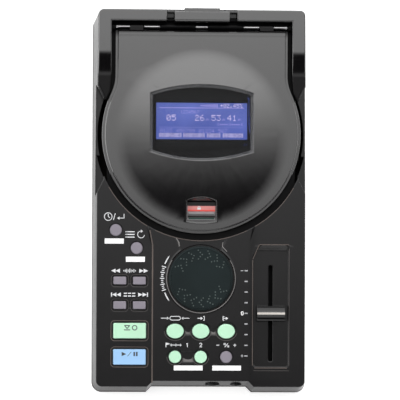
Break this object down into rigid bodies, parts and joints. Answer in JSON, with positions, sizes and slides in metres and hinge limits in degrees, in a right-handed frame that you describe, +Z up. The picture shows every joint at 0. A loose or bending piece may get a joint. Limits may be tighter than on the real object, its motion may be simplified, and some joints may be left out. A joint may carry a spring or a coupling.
{
  "type": "tabletop disc player",
  "caption": "Tabletop music disc player with a sloped panel, hinged round lid with a display, jog dial, tempo fader, cue and play buttons and a laser drive.",
  "frame": {"origin": "middle of the footprint, on the table under the rubber feet", "axes": "+X right, +Y to the rear (the front edge faces -Y), +Z up"},
  "size_m": [0.152, 0.27, 0.0608],
  "materials": {
    "shell": "satin to gloss black moulding",
    "inner_shell": "fine satin black",
    "steel": "plain",
    "plated": "bright plated",
    "rubber": "matt",
    "dial": "satin",
    "board": "solder mask",
    "switch": "matt",
    "socket": "matt black",
    "window": "smoked, clear",
    "mask": "matt black print",
    "screen": "lit blue display",
    "latch": "satin grey",
    "fader_knob": "polished",
    "grey_key": "satin purple-grey",
    "mint_key": "translucent mint",
    "blue_key": "translucent light blue",
    "lens": "coated",
    "gear": "acetal",
    "pinion": "machined"
  },
  "bodies": {
    "case": {"bottom_case": "shell", "top_cover": "shell", "rear_frame": "shell", "hinge_cap": "shell", "rear_hook": "shell", "disc_well": "inner_shell", "hinge_pin": "steel", "mech_chassis": "steel", "guide_rods": "steel", "spindle_motor": "steel", "sled_motor": "steel", "dampers": "rubber", "main_board": "board", "panel_board": "board", "key_switches": "switch", "jog_encoder": "steel", "fader_body": "steel", "connector_plate": "inner_shell", "phono_jacks": "plated", "power_jack": "socket", "switch_housing": "socket", "phones_jack": "socket", "level_pot": "steel", "rubber_feet": "rubber", "case_screws": "plated", "mech_screws": "plated"},
    "lid": {"lid_shell": "shell", "lid_liner": "inner_shell", "display_window": "window", "display_mask": "mask", "lcd_panel": "screen", "lid_screws": "plated"},
    "latch": {"latch_slider": "latch"},
    "jog": {"jog_dial": "dial", "jog_pad": "rubber", "jog_shaft": "steel"},
    "fader": {"fader_knob": "fader_knob", "fader_lever": "steel"},
    "turntable": {"turntable_hub": "inner_shell", "hub_balls": "plated"},
    "sled": {"pickup_sled": "inner_shell", "pickup_lens": "lens"},
    "gear": {"sled_gear": "gear"},
    "pinion": {"motor_pinion": "pinion"},
    "level": {"level_knob": "socket"},
    "rocker": {"power_rocker": "socket"},
    "time": {"time_button": "grey_key"},
    "mode": {"mode_button": "grey_key"},
    "search_back": {"search_back_button": "grey_key"},
    "search_forward": {"search_forward_button": "grey_key"},
    "skip_back": {"skip_back_button": "grey_key"},
    "skip_forward": {"skip_forward_button": "grey_key"},
    "cue": {"cue_button": "mint_key"},
    "play": {"play_button": "blue_key"},
    "reloop": {"reloop_button": "mint_key"},
    "loop_in": {"loop_in_button": "mint_key"},
    "loop_out": {"loop_out_button": "mint_key"},
    "hot_cue_1": {"hot_cue_1_button": "mint_key"},
    "hot_cue_2": {"hot_cue_2_button": "mint_key"},
    "tempo": {"tempo_button": "grey_key"}
  },
  "joints": [
    {"name": "lid_hinge", "type": "hinge", "parent": "case", "child": "lid", "pos_m": [0, 0.11961, 0.05207], "axis": [-1, 0, 0], "range_deg": [0, 55]},
    {"name": "latch_slide", "type": "slide", "parent": "lid", "child": "latch", "axis": [0, 0.9962, 0.0872], "range_m": [0, 0.0022], "stiffness_N_per_m": 150, "springref_m": -0.002},
    {"name": "jog_spin", "type": "hinge", "parent": "case", "child": "jog", "pos_m": [0, -0.05722, 0.04061], "axis": [0, -0.0872, 0.9962], "continuous": true},
    {"name": "fader_slide", "type": "slide", "parent": "case", "child": "fader", "axis": [0, 0.9962, 0.0872], "range_m": [-0.03, 0.03]},
    {"name": "spindle_spin", "type": "hinge", "parent": "case", "child": "turntable", "pos_m": [0, 0.04464, 0.04049], "axis": [0, -0.0872, 0.9962], "continuous": true},
    {"name": "sled_slide", "type": "slide", "parent": "case", "child": "sled", "axis": [0, -0.9962, -0.0872], "range_m": [0, 0.033]},
    {"name": "gear_spin", "type": "hinge", "parent": "case", "child": "gear", "pos_m": [0.0306, 0.00375, 0.02587], "axis": [0, -0.0872, 0.9962], "range_deg": [-2, 528]},
    {"name": "pinion_spin", "type": "hinge", "parent": "case", "child": "pinion", "pos_m": [0.04163, 0.01297, 0.02668], "axis": [0, -0.0872, 0.9962], "range_deg": [-1580, 6]},
    {"name": "level_turn", "type": "hinge", "parent": "case", "child": "level", "pos_m": [0.0259, -0.13, 0.017], "axis": [0, -1, 0], "range_deg": [-150, 150]},
    {"name": "power_rock", "type": "hinge", "parent": "case", "child": "rocker", "pos_m": [0.04, 0.12134, 0.03], "axis": [0, 0, 1], "range_deg": [0, 14]},
    {"name": "time_press", "type": "slide", "parent": "case", "child": "time", "axis": [0, 0.0872, -0.9962], "range_m": [0, 0.0008], "stiffness_N_per_m": 500, "springref_m": -0.0006},
    {"name": "mode_press", "type": "slide", "parent": "case", "child": "mode", "axis": [0, 0.0872, -0.9962], "range_m": [0, 0.0008], "stiffness_N_per_m": 500, "springref_m": -0.0006},
    {"name": "search_back_press", "type": "slide", "parent": "case", "child": "search_back", "axis": [0, 0.0872, -0.9962], "range_m": [0, 0.0008], "stiffness_N_per_m": 500, "springref_m": -0.0006},
    {"name": "search_forward_press", "type": "slide", "parent": "case", "child": "search_forward", "axis": [0, 0.0872, -0.9962], "range_m": [0, 0.0008], "stiffness_N_per_m": 500, "springref_m": -0.0006},
    {"name": "skip_back_press", "type": "slide", "parent": "case", "child": "skip_back", "axis": [0, 0.0872, -0.9962], "range_m": [0, 0.0008], "stiffness_N_per_m": 500, "springref_m": -0.0006},
    {"name": "skip_forward_press", "type": "slide", "parent": "case", "child": "skip_forward", "axis": [0, 0.0872, -0.9962], "range_m": [0, 0.0008], "stiffness_N_per_m": 500, "springref_m": -0.0006},
    {"name": "cue_press", "type": "slide", "parent": "case", "child": "cue", "axis": [0, 0.0872, -0.9962], "range_m": [0, 0.0008], "stiffness_N_per_m": 500, "springref_m": -0.0006},
    {"name": "play_press", "type": "slide", "parent": "case", "child": "play", "axis": [0, 0.0872, -0.9962], "range_m": [0, 0.0008], "stiffness_N_per_m": 500, "springref_m": -0.0006},
    {"name": "reloop_press", "type": "slide", "parent": "case", "child": "reloop", "axis": [0, 0.0872, -0.9962], "range_m": [0, 0.0008], "stiffness_N_per_m": 500, "springref_m": -0.0006},
    {"name": "loop_in_press", "type": "slide", "parent": "case", "child": "loop_in", "axis": [0, 0.0872, -0.9962], "range_m": [0, 0.0008], "stiffness_N_per_m": 500, "springref_m": -0.0006},
    {"name": "loop_out_press", "type": "slide", "parent": "case", "child": "loop_out", "axis": [0, 0.0872, -0.9962], "range_m": [0, 0.0008], "stiffness_N_per_m": 500, "springref_m": -0.0006},
    {"name": "hot_cue_1_press", "type": "slide", "parent": "case", "child": "hot_cue_1", "axis": [0, 0.0872, -0.9962], "range_m": [0, 0.0008], "stiffness_N_per_m": 500, "springref_m": -0.0006},
    {"name": "hot_cue_2_press", "type": "slide", "parent": "case", "child": "hot_cue_2", "axis": [0, 0.0872, -0.9962], "range_m": [0, 0.0008], "stiffness_N_per_m": 500, "springref_m": -0.0006},
    {"name": "tempo_press", "type": "slide", "parent": "case", "child": "tempo", "axis": [0, 0.0872, -0.9962], "range_m": [0, 0.0008], "stiffness_N_per_m": 500, "springref_m": -0.0006}
  ],
  "couplings": [
    {"joint": "gear_spin", "follows": "sled_slide", "rad_per_m": 277.78},
    {"joint": "pinion_spin", "follows": "sled_slide", "rad_per_m": -833.33}
  ]
}
